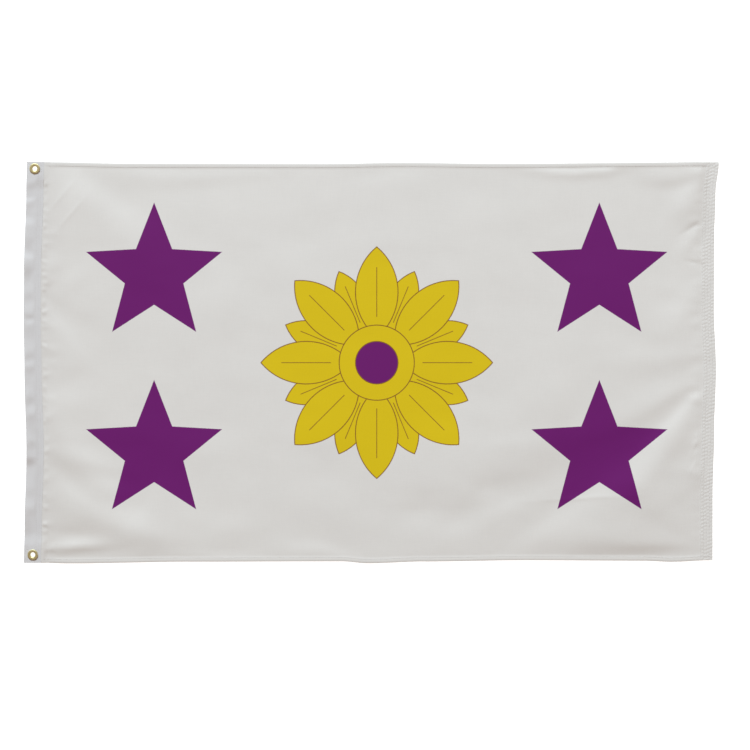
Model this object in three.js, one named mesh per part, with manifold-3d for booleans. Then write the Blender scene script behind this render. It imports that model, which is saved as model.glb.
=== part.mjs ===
// A cloth flag lying flat on its back: a printed field with sewn hems, a canvas heading folded over the
// hoist edge, and two brass eyelets set through the heading. Millimetres, +Z up, the underside on z = 0,
// +X from the hoist to the fly and +Y from the bottom edge to the top edge.
import * as THREE from "three";
import { mergeVertices } from "three/addons/utils/BufferGeometryUtils.js";
import Module from "manifold-3d";

const wasm = await Module();
wasm.setup();

// Driving dimensions
const FLY_LENGTH = 1524; // hoist edge to fly edge, heading included
const HOIST_WIDTH = 882; // bottom edge to top edge
const CLOTH = 1.0; // thickness of the field and of each leaf of the heading
const HEM = 2.0; // thickness where the field is turned under and sewn down
const SIDE_HEM_WIDTH = 11;
const FLY_HEM_WIDTH = 26;
const HEM_STEP = 2; // width of the step from hem to single cloth
const EDGE_ROUND = 0.5; // how far the folded edge of a hem bulges
const HEADING_WIDTH = 38;
const SEAM_ALLOWANCE = 9; // how far the field reaches in between the heading's leaves
const PIECE_GAP = 0.3; // clearance between neighbouring pieces
const TURN_STEPS = 6; // straight pieces round the turn of the heading
const SETTLE_START = 2; // where the field starts to come down, past the heading's inner edge
const SETTLE_END = 40; // where it lies on the surface

// Eyelets: barrel, flange on the front, washer on the back with the barrel's end rolled over it.
// The section rows are radius and height, the crown's height counted from the face it sits on.
const BARREL_RADIUS = 6.1;
const ROLL_HEIGHT = 0.8;
const ROLLED_END = [
  [5.5, 0.4],
  [6.1, 0],
  [7.5, 0],
  [8.0, 0.4],
  [7.8, ROLL_HEIGHT],
];
const FLANGE_CROWN = [
  [11.5, 0],
  [10.9, 1.0],
  [9.3, 1.5],
  [7.2, 1.5],
  [6.0, 1.1],
  [5.5, 0.6],
];
const WASHER_HEIGHT = 1.5;
const WASHER_RIM = [
  [8.3, 1.1],
  [8.6, 0],
  [10.5, 0],
  [11.2, 0.6],
  [11.5, 1.2],
  [11.5, WASHER_HEIGHT],
];
const ROUND_STEPS = 28;
const EYELETS = [
  { place: "top", fromHoist: 18, fromEnd: 15, atTop: true },
  { place: "bottom", fromHoist: 20, fromEnd: 18, atTop: false },
];
const EYELET_FLAT = 14; // half length of the flat stretch of heading round an eyelet
const EYELET_EASE = 34; // length over which the heading comes down from an eyelet to the surface

// Outline: how far each edge wanders outwards from the straight line. share runs from the bottom
// to the top of the hoist and fly edges, and from the hoist to the fly of the other two.
const HOIST_EDGE = [
  { share: 0.0, out: 3.1 },
  { share: 0.08, out: 1.8 },
  { share: 0.28, out: -2.4 },
  { share: 0.48, out: 2.0 },
  { share: 0.61, out: 3.8 },
  { share: 0.73, out: 3.1 },
  { share: 0.93, out: -1.9 },
  { share: 1.0, out: -3.8 },
];
const FLY_EDGE = [
  { share: 0.0, out: -5.1 },
  { share: 0.16, out: -4.9 },
  { share: 0.33, out: -1.3 },
  { share: 0.48, out: 2.6 },
  { share: 0.63, out: -2.0 },
  { share: 0.8, out: -1.6 },
  { share: 0.92, out: 1.4 },
  { share: 1.0, out: 8.8 },
];
const TOP_EDGE = [
  { share: 0.0, out: 1.4 },
  { share: 0.03, out: 1.4 },
  { share: 0.14, out: -1.5 },
  { share: 0.43, out: -2.2 },
  { share: 0.54, out: 0.2 },
  { share: 0.68, out: -1.8 },
  { share: 1.0, out: 1.5 },
];
const BOTTOM_EDGE = [
  { share: 0.0, out: 2.4 },
  { share: 0.03, out: 2.4 },
  { share: 0.065, out: 3.8 },
  { share: 0.24, out: -0.2 },
  { share: 0.46, out: -1.0 },
  { share: 0.5, out: 3.4 },
  { share: 0.58, out: -0.6 },
  { share: 0.73, out: -3.5 },
  { share: 0.9, out: -2.2 },
  { share: 0.94, out: 0.2 },
  { share: 1.0, out: -3.5 },
];

// Puckers that cross the heading, measured up from its bottom end
const HEADING_PUCKERS = [
  { at: 127, reach: 26, height: 0.9 },
  { at: 190, reach: 24, height: 0.8 },
  { at: 233, reach: 24, height: 1.8 },
  { at: 340, reach: 30, height: 0.9 },
  { at: 432, reach: 34, height: 0.6 },
  { at: 537, reach: 28, height: 1.2 },
  { at: 609, reach: 28, height: 1.0 },
  { at: 673, reach: 28, height: 1.1 },
  { at: 751, reach: 26, height: 1.1 },
  { at: 793, reach: 22, height: 1.0 },
];

// Main folds of the field: soft swells from one point to another, by half width and height. lean widens
// the left flank of that way and narrows the right one, taper widens it towards its end, and bow bends
// its crest to the left.
const FOLDS = [
  { from: [-760, -257], to: [-378, -408], width: 32, height: 2.4, lean: 0, taper: -0.2, bow: -26 },
  { from: [770, -404], to: [358, -401], width: 27, height: 2, lean: -0.4, taper: 0.6, bow: -3 },
  { from: [770, -242], to: [345, -389], width: 68, height: 2.1, lean: -0.5, taper: -0.6, bow: 37 },
  { from: [770, -33], to: [480, -392], width: 37, height: 2.1, lean: 0.3, taper: 0.7, bow: 4 },
  { from: [770, 450], to: [566, 426], width: 30, height: 2.1, lean: -0.5, taper: 0.2, bow: 24 },
  { from: [-749, 450], to: [-461, 174], width: 56, height: 1.9, lean: -0.4, taper: 0.3, bow: 14 },
  { from: [687, -212], to: [290, -449], width: 54, height: 1.6, lean: 0.4, taper: -0.6, bow: 2 },
  { from: [770, -12], to: [118, -227], width: 54, height: 1.2, lean: -0.5, taper: 0.4, bow: 34 },
  { from: [-610, -348], to: [-124, -405], width: 41, height: 1.2, lean: -0.2, taper: 0.3, bow: 4 },
  { from: [-752, -50], to: [-429, -450], width: 39, height: 1.6, lean: -0.1, taper: 0.6, bow: -22 },
  { from: [490, -194], to: [100, -250], width: 48, height: 1.1, lean: -0.6, taper: 0.4, bow: 10 },
  { from: [130, -430], to: [454, -275], width: 32, height: 1.1, lean: -0.3, taper: -0.3, bow: 9 },
  { from: [-759, -413], to: [-522, -395], width: 11, height: 0.8, lean: 0.2, taper: 0.6, bow: -3 },
  { from: [-664, 450], to: [-227, 420], width: 19, height: 0.8, lean: -0.2, taper: -0.5, bow: -29 },
  { from: [770, 29], to: [441, 12], width: 30, height: 1.2, lean: 0, taper: 0.7, bow: 18 },
  { from: [-247, -426], to: [-8, -441], width: 24, height: 1.3, lean: -0.2, taper: -0.7, bow: 12 },
  { from: [718, 450], to: [678, 302], width: 42, height: 2.6, lean: 0.2, taper: 0, bow: 16 },
  { from: [-727, 179], to: [-508, 89], width: 51, height: 1.1, lean: 0.6, taper: 0.7, bow: -11 },
  { from: [509, -171], to: [770, -16], width: 22, height: 1, lean: 0.2, taper: -0.7, bow: 7 },
  { from: [-247, -286], to: [4, -373], width: 52, height: 1.1, lean: 0.1, taper: 0.2, bow: 5 },
  { from: [593, -216], to: [755, -57], width: 26, height: 1.1, lean: -0.6, taper: -0.2, bow: -3 },
  { from: [28, -247], to: [239, -289], width: 54, height: 1.1, lean: 0.6, taper: 0, bow: 10 },
];
const FOLD_LENGTH_FALL = 1.6; // how fast a fold fades along its crest
const FOLD_BOW_FALL = 0.3; // how fast its bow fades past its two ends
const FOLD_FOOT = 0.03; // share of its height where a fold meets the surface

// Mesh lines: closer together over the folds and hems, wider over the calm middle.
// Columns run from the field's edge inside the heading, rows from the bottom edge.
const FIELD_LENGTH = FLY_LENGTH - HEADING_WIDTH + SEAM_ALLOWANCE;
const COLUMNS = [
  { upTo: SEAM_ALLOWANCE, step: SEAM_ALLOWANCE },
  { upTo: 252, step: 20 },
  { upTo: 702, step: 45 },
  { upTo: 1022, step: 32 },
  { upTo: FIELD_LENGTH - FLY_HEM_WIDTH, step: 20 },
  { upTo: FIELD_LENGTH - FLY_HEM_WIDTH + HEM_STEP, step: HEM_STEP },
  { upTo: FIELD_LENGTH, step: 12 },
];
const ROWS = [
  { upTo: SIDE_HEM_WIDTH - HEM_STEP, step: 9 },
  { upTo: SIDE_HEM_WIDTH, step: HEM_STEP },
  { upTo: 33, step: 11 },
  { upTo: 150, step: 13 },
  { upTo: 390, step: 20 },
  { upTo: 750, step: 30 },
  { upTo: HOIST_WIDTH - 31, step: 17 },
  { upTo: HOIST_WIDTH - SIDE_HEM_WIDTH, step: 10 },
  { upTo: HOIST_WIDTH - SIDE_HEM_WIDTH + HEM_STEP, step: HEM_STEP },
  { upTo: HOIST_WIDTH, step: 9 },
];

// Finishes
const WHITE_CLOTH = new THREE.MeshStandardMaterial({ color: 0xd6d5d2, roughness: 0.75, metalness: 0 });
const WHITE_CANVAS = new THREE.MeshStandardMaterial({ color: 0xcccacb, roughness: 0.9, metalness: 0 });
const BRASS = new THREE.MeshStandardMaterial({ color: 0xb5994e, roughness: 0.35, metalness: 1 });

const { lerp, smoothstep } = THREE.MathUtils;
const HEADING_HEIGHT = 3 * CLOTH + 2 * PIECE_GAP;
const EYELET_LIFT = WASHER_HEIGHT + PIECE_GAP;
const PUNCH_RADIUS = BARREL_RADIUS + PIECE_GAP;
const PUNCH_LENGTH = 4 * (EYELET_LIFT + HEADING_HEIGHT);
const SAME_POINT = 1e-6; // corners closer together than this are one corner

/** Reads an edge table at one share, easing from row to row. */
function edgeAt(table, share) {
  const next = table.findIndex((row) => row.share >= share);
  if (next <= 0) return table.at(next).out;
  const [before, after] = [table[next - 1], table[next]];
  return lerp(before.out, after.out, smoothstep(share, before.share, after.share));
}

const hoistEdgeX = (rowShare) => -FLY_LENGTH / 2 - edgeAt(HOIST_EDGE, rowShare);
const flyEdgeX = (rowShare) => FLY_LENGTH / 2 + edgeAt(FLY_EDGE, rowShare);

/** Y of a row of the flag, at a share of the way from the hoist to the fly. */
function rowY(flyShare, rowShare) {
  const bottom = -HOIST_WIDTH / 2 - edgeAt(BOTTOM_EDGE, flyShare);
  const top = HOIST_WIDTH / 2 + edgeAt(TOP_EDGE, flyShare);
  return lerp(bottom, top, rowShare);
}

/** Lines from 0 to the table's last place, in equal steps of about the size that each row gives. */
function meshLines(table) {
  const lines = [0];
  for (const { upTo, step } of table) {
    const from = lines.at(-1);
    const count = Math.round((upTo - from) / step);
    for (let i = 1; i <= count; i++) lines.push(lerp(from, upTo, i / count));
  }
  return lines;
}

const columns = meshLines(COLUMNS);
const rowShares = meshLines(ROWS).map((row) => row / HOIST_WIDTH);

/** A soft hump: 1 at 0, falling to exactly 0 at 1 and beyond. */
function hump(distance) {
  return distance >= 1 ? 0 : Math.cos((distance * Math.PI) / 2) ** 2;
}

/** How high the heading lies over the surface: on the washers at its ends, and over its puckers. */
function headingLift(rowShare) {
  const up = rowShare * HOIST_WIDTH;
  const lifts = EYELETS.map(({ fromEnd, atTop }) => {
    const inward = (atTop ? HOIST_WIDTH - up : up) - fromEnd;
    return EYELET_LIFT * (1 - smoothstep(inward, EYELET_FLAT, EYELET_FLAT + EYELET_EASE));
  });
  const puckers = HEADING_PUCKERS.map(({ at, reach, height }) => height * hump(Math.abs(up - at) / reach));
  return Math.max(...lifts, ...puckers);
}

/** Height of one fold at a point: full on its crest, fading across it and towards both ends. */
function foldHeight({ from, to, width, height, lean, taper, bow }, point) {
  const start = new THREE.Vector2(...from);
  const way = new THREE.Vector2(...to).sub(start);
  const half = way.length() / 2;
  const off = point.clone().sub(start).addScaledVector(way, -0.5);
  way.normalize();
  const along = off.dot(way) / half;
  const crest = bow * (1 - along ** 2) * Math.exp(-FOLD_BOW_FALL * along ** 2);
  const evenly = (way.cross(off) - crest) / (width * Math.exp(taper * Math.tanh(along)));
  const across = evenly / (1 + lean * Math.tanh(evenly));
  const share = Math.exp(-FOLD_LENGTH_FALL * along ** 2 - across ** 2);
  return (height * Math.max(0, share - FOLD_FOOT)) / (1 - FOLD_FOOT);
}

/** Underside of the field: between the heading's leaves, then down on the surface and over its folds. */
function fieldUnderside(x, y, rowShare, pastSeam) {
  const inHeading = headingLift(rowShare) + CLOTH + PIECE_GAP;
  const point = new THREE.Vector2(x, y);
  const folds = FOLDS.reduce((sum, fold) => sum + foldHeight(fold, point), 0);
  return lerp(inHeading, folds, smoothstep(pastSeam, SETTLE_START, SETTLE_END));
}

/** Thickness of the field: its hems, with a short step down to the single cloth. */
function fieldThickness(fromFly, fromSide, pastSeam) {
  const flyHem = 1 - smoothstep(fromFly, FLY_HEM_WIDTH - HEM_STEP, FLY_HEM_WIDTH);
  const sideHem = 1 - smoothstep(fromSide, SIDE_HEM_WIDTH - HEM_STEP, SIDE_HEM_WIDTH);
  const clearOfHeading = smoothstep(pastSeam, SETTLE_START, SETTLE_END / 2);
  return lerp(CLOTH, HEM, Math.max(flyHem, sideHem * clearOfHeading));
}

/** A geometry from points and the corner numbers of its triangles. */
function indexedGeometry(points, triangles) {
  const geometry = new THREE.BufferGeometry().setFromPoints(points);
  geometry.setIndex(triangles);
  geometry.computeVertexNormals();
  return geometry;
}

/** Two triangles for the quad a, b, c, d, counter-clockwise seen from outside. */
const quad = (a, b, c, d) => [a, b, c, a, c, d];

/** The field: upper and lower faces on one grid, closed round its edge by a slightly rounded rim. */
function fieldGeometry() {
  const lower = [];
  const upper = [];
  for (const rowShare of rowShares) {
    const left = hoistEdgeX(rowShare) + HEADING_WIDTH - SEAM_ALLOWANCE;
    for (const column of columns) {
      const x = lerp(left, flyEdgeX(rowShare), column / FIELD_LENGTH);
      const y = rowY((FLY_LENGTH - FIELD_LENGTH + column) / FLY_LENGTH, rowShare);
      const pastSeam = column - SEAM_ALLOWANCE;
      const z = fieldUnderside(x, y, rowShare, pastSeam);
      const fromSide = Math.min(rowShare, 1 - rowShare) * HOIST_WIDTH;
      lower.push(new THREE.Vector3(x, y, z));
      upper.push(new THREE.Vector3(x, y, z + fieldThickness(FIELD_LENGTH - column, fromSide, pastSeam)));
    }
  }

  const wide = columns.length;
  const high = rowShares.length;
  const at = (i, j) => j * wide + i;
  const triangles = [];
  for (let j = 0; j < high - 1; j++) {
    for (let i = 0; i < wide - 1; i++) {
      const corners = [at(i, j), at(i + 1, j), at(i + 1, j + 1), at(i, j + 1)];
      triangles.push(...quad(...corners.map((corner) => corner + lower.length)));
      triangles.push(...quad(...corners.reverse()));
    }
  }

  const rim = [
    ...Array.from({ length: wide - 1 }, (_, i) => at(i, 0)),
    ...Array.from({ length: high - 1 }, (_, j) => at(wide - 1, j)),
    ...Array.from({ length: wide - 1 }, (_, i) => at(wide - 1 - i, high - 1)),
    ...Array.from({ length: high - 1 }, (_, j) => at(0, high - 1 - j)),
  ];
  const middle = rim.map((corner, k) => {
    const before = lower[rim.at(k - 1)];
    const after = lower[rim[(k + 1) % rim.length]];
    const outwards = new THREE.Vector3(after.y - before.y, before.x - after.x, 0).setLength(EDGE_ROUND);
    return lower[corner].clone().lerp(upper[corner], 0.5).add(outwards);
  });
  const firstMiddle = lower.length + upper.length;
  for (let k = 0; k < rim.length; k++) {
    const next = (k + 1) % rim.length;
    const [under, underNext] = [rim[k], rim[next]];
    const [mid, midNext] = [firstMiddle + k, firstMiddle + next];
    triangles.push(...quad(under, underNext, midNext, mid));
    triangles.push(...quad(mid, midNext, underNext + lower.length, under + lower.length));
  }
  return indexedGeometry([...lower, ...upper, ...middle], triangles);
}

/** Section of the heading across its length: two leaves joined by the fold at the hoist edge. */
function headingSection() {
  const outer = HEADING_HEIGHT / 2;
  const section = new THREE.Shape();
  section.moveTo(HEADING_WIDTH, 0);
  section.lineTo(HEADING_WIDTH, CLOTH);
  section.lineTo(outer, CLOTH);
  section.absarc(outer, outer, outer - CLOTH, -Math.PI / 2, -1.5 * Math.PI, true);
  section.lineTo(HEADING_WIDTH, HEADING_HEIGHT - CLOTH);
  section.lineTo(HEADING_WIDTH, HEADING_HEIGHT);
  section.lineTo(outer, HEADING_HEIGHT);
  section.absarc(outer, outer, outer, Math.PI / 2, 1.5 * Math.PI, false);
  const points = section.getPoints(TURN_STEPS);
  return points.filter((point, i) => i === 0 || point.distanceTo(points[i - 1]) > SAME_POINT);
}

/** The heading, swept from its bottom end to its top end, with a hole punched for each eyelet. */
function headingGeometry() {
  const section = headingSection();
  const points = rowShares.flatMap((rowShare) =>
    section.map(({ x, y }) => {
      const lift = headingLift(rowShare);
      return new THREE.Vector3(hoistEdgeX(rowShare) + x, rowY(0, rowShare), lift + y);
    }),
  );
  const around = section.length;
  const last = (rowShares.length - 1) * around;
  const triangles = [];
  for (let row = 0; row < last; row += around) {
    for (let i = 0; i < around; i++) {
      const next = (i + 1) % around;
      triangles.push(...quad(row + i, row + around + i, row + around + next, row + next));
    }
  }
  for (const [a, b, c] of THREE.ShapeUtils.triangulateShape(section, [])) {
    triangles.push(a, b, c, last + a, last + c, last + b);
  }
  const holes = EYELETS.map((eyelet) => {
    const punch = new THREE.CylinderGeometry(PUNCH_RADIUS, PUNCH_RADIUS, PUNCH_LENGTH, ROUND_STEPS);
    return solidOf(punch.rotateX(Math.PI / 2).translate(eyeletX(eyelet), eyeletY(eyelet), 0));
  });
  const band = solidOf(indexedGeometry(points, triangles));
  return geometryOf(holes.reduce((left, hole) => left.subtract(hole), band));
}

/** A geometry as a solid that can be cut. */
function solidOf(geometry) {
  const bare = geometry.clone().deleteAttribute("normal").deleteAttribute("uv");
  const merged = mergeVertices(bare);
  return new wasm.Manifold(
    new wasm.Mesh({
      numProp: 3,
      vertProperties: merged.attributes.position.array,
      triVerts: new Uint32Array(merged.index.array),
    }),
  );
}

/** A cut solid back as a geometry. */
function geometryOf(solid) {
  const { vertProperties, triVerts } = solid.getMesh();
  const geometry = new THREE.BufferGeometry();
  geometry.setAttribute("position", new THREE.BufferAttribute(vertProperties, 3));
  geometry.setIndex(Array.from(triVerts));
  geometry.computeVertexNormals();
  return geometry;
}

const eyeletRow = ({ fromEnd, atTop }) => (atTop ? HOIST_WIDTH - fromEnd : fromEnd) / HOIST_WIDTH;
const eyeletX = (eyelet) => hoistEdgeX(eyeletRow(eyelet)) + eyelet.fromHoist;
const eyeletY = (eyelet) => rowY(0, eyeletRow(eyelet));

/** A ring about the Z axis from the outline of its section: radius, height. */
function turnedRing(outline) {
  const points = [...outline, outline[0]].map(([radius, height]) => new THREE.Vector2(radius, height));
  return new THREE.LatheGeometry(points, ROUND_STEPS).rotateX(Math.PI / 2);
}

/** The eyelet: a crowned flange over the heading, the barrel, and its end rolled out under the washer. */
function eyeletGeometry() {
  const seat = EYELET_LIFT + HEADING_HEIGHT + PIECE_GAP;
  const barrel = [
    [BARREL_RADIUS, ROLL_HEIGHT],
    [BARREL_RADIUS, seat],
  ];
  const crown = FLANGE_CROWN.map(([radius, height]) => [radius, seat + height]);
  return turnedRing([...ROLLED_END, ...barrel, ...crown]);
}

/** The washer: a dished ring that stands on the surface, its inner part raised for the rolled barrel. */
function washerGeometry() {
  const raised = WASHER_RIM[0][1];
  return turnedRing([[PUNCH_RADIUS, raised], ...WASHER_RIM, [PUNCH_RADIUS, WASHER_HEIGHT]]);
}

/** One named piece of the flag. */
function piece(name, geometry, material) {
  const mesh = new THREE.Mesh(geometry, material);
  mesh.name = name;
  return mesh;
}

const flag = new THREE.Group();
flag.add(piece("field", fieldGeometry(), WHITE_CLOTH));
flag.add(piece("heading", headingGeometry(), WHITE_CANVAS));
for (const eyelet of EYELETS) {
  const set = new THREE.Group();
  set.position.set(eyeletX(eyelet), eyeletY(eyelet), 0);
  set.add(piece(`eyelet_${eyelet.place}`, eyeletGeometry(), BRASS));
  set.add(piece(`washer_${eyelet.place}`, washerGeometry(), BRASS));
  flag.add(set);
}

// The origin is under the middle of the whole flag, on the surface that it lies on.
const extent = new THREE.Box3().setFromObject(flag);
const middleOfFlag = extent.getCenter(new THREE.Vector3());
flag.position.set(-middleOfFlag.x, -middleOfFlag.y, -extent.min.z);

export default flag;
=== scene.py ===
"""A printed cloth flag laid out flat, face up: its field, heading, eyelets and sewing.

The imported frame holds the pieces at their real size. This file makes the cloth and brass that show.
Sizes are millimetres on the flag's own plan, x from the hoist to the fly and y from the bottom edge
to the top edge, both counted from the flag's middle. A mesh is placed in the frame in metres.
"""

from __future__ import annotations

import logging
import math
import random
from dataclasses import dataclass, field
from enum import Enum
from typing import Callable, Iterable, Sequence, Union

import bpy
import numpy as np
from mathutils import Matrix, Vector, noise


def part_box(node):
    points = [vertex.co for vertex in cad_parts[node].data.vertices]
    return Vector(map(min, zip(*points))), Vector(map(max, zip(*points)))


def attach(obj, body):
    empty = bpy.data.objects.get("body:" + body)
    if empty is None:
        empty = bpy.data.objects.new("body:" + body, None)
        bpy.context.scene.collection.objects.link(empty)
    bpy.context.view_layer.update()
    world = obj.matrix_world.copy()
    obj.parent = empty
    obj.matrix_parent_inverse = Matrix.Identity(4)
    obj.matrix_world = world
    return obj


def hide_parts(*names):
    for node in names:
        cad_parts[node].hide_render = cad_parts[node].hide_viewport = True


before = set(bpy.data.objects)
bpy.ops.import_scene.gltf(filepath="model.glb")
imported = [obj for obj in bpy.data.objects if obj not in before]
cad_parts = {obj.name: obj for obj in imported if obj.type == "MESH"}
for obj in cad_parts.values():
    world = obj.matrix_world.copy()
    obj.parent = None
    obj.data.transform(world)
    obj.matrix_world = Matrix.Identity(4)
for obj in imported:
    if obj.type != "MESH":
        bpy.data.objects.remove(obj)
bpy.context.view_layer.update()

LOG = logging.getLogger("flag")
BODY = "root"
MM = 0.001
NOISE_SEED = 5  # keeps every run the same

FACE_UP, FACE_DOWN = 1.0, -1.0  # which way a face of the cloth looks

Colour = tuple[float, float, float]
Point = tuple[float, float]
FacePoints = tuple[np.ndarray, float]


def eased(share: np.ndarray) -> np.ndarray:
    """Soft start and soft end between 0 and 1."""
    share = np.clip(share, 0.0, 1.0)
    return share * share * (3.0 - 2.0 * share)


def ramp(value: np.ndarray, low: float, high: float) -> np.ndarray:
    """Eased 0 to 1 as value goes from low to high."""
    return eased((np.asarray(value, float) - low) / (high - low))


def linear(colour: Colour) -> tuple[float, float, float, float]:
    """A colour given as it shows, 0 to 255, as the light it reflects.

    Args:
        colour: red, green and blue from 0 to 255.

    Returns:
        Linear red, green and blue, with an alpha of 1.
    """
    shown = [channel / 255.0 for channel in colour]
    light = [c / 12.92 if c <= 0.04045 else ((c + 0.055) / 1.055) ** 2.4 for c in shown]
    return (*light, 1.0)


def math_method(operation: str, reflected: bool = False) -> Callable[..., "Value"]:
    """A Math node's operation as a method of a socket.

    Args:
        operation: the node's operation.
        reflected: whether the socket comes second.

    Returns:
        The method, which takes the other value where the operation has one.
    """

    def method(self: "Value", other: "Operand" = 0.0) -> "Value":
        """The operation on this socket and the other value."""
        return self.math(operation, other, self) if reflected else self.math(operation, self, other)

    return method


class Value:
    """A shader socket that can be used in Python arithmetic."""

    def __init__(self, graph: "Graph", socket: bpy.types.NodeSocket) -> None:
        """Keeps the socket and the graph that new nodes go to."""
        self.graph = graph
        self.socket = socket

    def math(self, operation: str, *operands: "Operand", clamp: bool = False) -> "Value":
        """A Math node on the operands, in their order."""
        settings = {"operation": operation, "use_clamp": clamp}
        return self.graph.node("ShaderNodeMath", settings, dict(enumerate(operands)))

    __add__, __radd__ = math_method("ADD"), math_method("ADD", True)
    __sub__, __rsub__ = math_method("SUBTRACT"), math_method("SUBTRACT", True)
    __mul__, __rmul__ = math_method("MULTIPLY"), math_method("MULTIPLY", True)
    __truediv__, __mod__ = math_method("DIVIDE"), math_method("FLOORED_MODULO")
    __abs__, sign, root = math_method("ABSOLUTE"), math_method("SIGN"), math_method("SQRT")
    sine, cosine = math_method("SINE"), math_method("COSINE")
    larger, angle_from = math_method("MAXIMUM"), math_method("ARCTAN2")

    def clamped(self) -> "Value":
        """self, kept between 0 and 1."""
        return self.math("ADD", self, 0.0, clamp=True)

    def inside(self, softness: float) -> "Value":
        """1 where self, a distance from an outline, is inside it, with an edge of that softness."""
        return (0.5 - self / softness).clamped()

    def line(self, width: float, softness: float) -> "Value":
        """1 along an outline that self is the distance from."""
        return (abs(self) - width / 2).inside(softness)

    def raised(self) -> "Value":
        """A wave between -1 and 1, moved to between 0 and 1."""
        return 0.5 + 0.5 * self


Operand = Union[Value, float]
Setting = Union[str, float, bool]


class Graph:
    """A material and the nodes that make it."""

    def __init__(self, name: str) -> None:
        """Starts a material of that name, with no nodes yet."""
        self.material = bpy.data.materials.new(name)
        self.material.use_nodes = True
        self.tree = self.material.node_tree
        self.tree.nodes.clear()

    def node(
        self,
        kind: str,
        settings: dict[str, Setting] | None = None,
        inputs: dict[Union[int, str], Union[Value, float, Sequence[float]]] | None = None,
        output: Union[int, str] = 0,
    ) -> Value:
        """Adds a node, sets it up and links it.

        Args:
            kind: the node's type.
            settings: its own properties, set before its sockets.
            inputs: values or links by socket number or socket identifier.
            output: the socket that the result reads.

        Returns:
            The chosen output.
        """
        made = self.tree.nodes.new(kind)
        for name, setting in (settings or {}).items():
            setattr(made, name, setting)
        for key, value in (inputs or {}).items():
            socket = self._socket(made.inputs, key)
            if isinstance(value, Value):
                self.tree.links.new(value.socket, socket)
            else:
                socket.default_value = value
        return Value(self, self._socket(made.outputs, output))

    @staticmethod
    def _socket(sockets: Iterable[bpy.types.NodeSocket], key: Union[int, str]) -> bpy.types.NodeSocket:
        """The socket with that number or identifier."""
        if isinstance(key, int):
            return list(sockets)[key]
        return next(socket for socket in sockets if socket.identifier == key)

    def place(self) -> Value:
        """The point on the piece, in metres."""
        return self.node("ShaderNodeTexCoord", output="Object")

    def plan(self, centre: Point = (0.0, 0.0)) -> tuple[Value, Value]:
        """The point's x and y, in metres from a centre."""
        moved = self.node(
            "ShaderNodeMapping",
            {"vector_type": "POINT"},
            {"Vector": self.place(), "Location": (-centre[0], -centre[1], 0.0)},
        )
        parts = self.node("ShaderNodeSeparateXYZ", None, {0: moved})
        return parts, Value(self, parts.socket.node.outputs[1])

    def speckle(self, size: float, stretch: Sequence[float] = (1, 1, 1), detail: float = 2.0) -> Value:
        """Noise between about 0 and 1, with blotches of that size in metres, drawn out by stretch."""
        inputs = {"Vector": self.place(), "Scale": tuple(1.0 / (size * share) for share in stretch)}
        spread = self.node("ShaderNodeMapping", {"vector_type": "POINT"}, inputs)
        return self.node("ShaderNodeTexNoise", None, {"Vector": spread, "Scale": 1.0, "Detail": detail})

    def threads(self, size: float, draw: float) -> Value:
        """Noise of that size, drawn out both ways as the threads of a cloth are."""
        return self.speckle(size, (draw, 1, 1)) * 0.5 + self.speckle(size, (1, draw, 1)) * 0.5

    def mix(self, share: Operand, below: "Paint", above: "Paint") -> Value:
        """One colour over another."""
        return self.node(
            "ShaderNodeMix",
            {"data_type": "RGBA", "clamp_factor": True},
            {"Factor_Float": share, "A_Color": below, "B_Color": above},
            "Result_Color",
        )

    def weave(self, pitch: float) -> Value:
        """Height of a plain weave, 0 to 1, with that many metres from thread to thread."""
        x, y = self.plan()
        turn = math.pi / pitch
        return ((x * turn).sine() * (y * turn).sine()).raised()

    def bump(self, height: Value, distance: float, strength: float) -> Value:
        """A normal that follows the height, which is up to distance metres high."""
        inputs = {"Strength": strength, "Distance": distance, "Height": height}
        return self.node("ShaderNodeBump", None, inputs)

    def surface(self, **inputs: Union[Value, float, Sequence[float]]) -> bpy.types.Material:
        """Ends the graph in a surface, its sockets named with underscores for spaces."""
        named = {key.replace("_", " "): value for key, value in inputs.items()}
        shader = self.node("ShaderNodeBsdfPrincipled", None, named)
        ending = self.tree.nodes.new("ShaderNodeOutputMaterial")
        self.tree.links.new(shader.socket, ending.inputs["Surface"])
        return self.material


Paint = Union[Value, tuple[float, float, float, float]]


@dataclass(frozen=True)
class Petals:
    """One round of pointed petals of a rosette, in metres."""

    count: int
    inner: float
    outer: float
    half_width: float
    turned: float = 0.0


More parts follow.
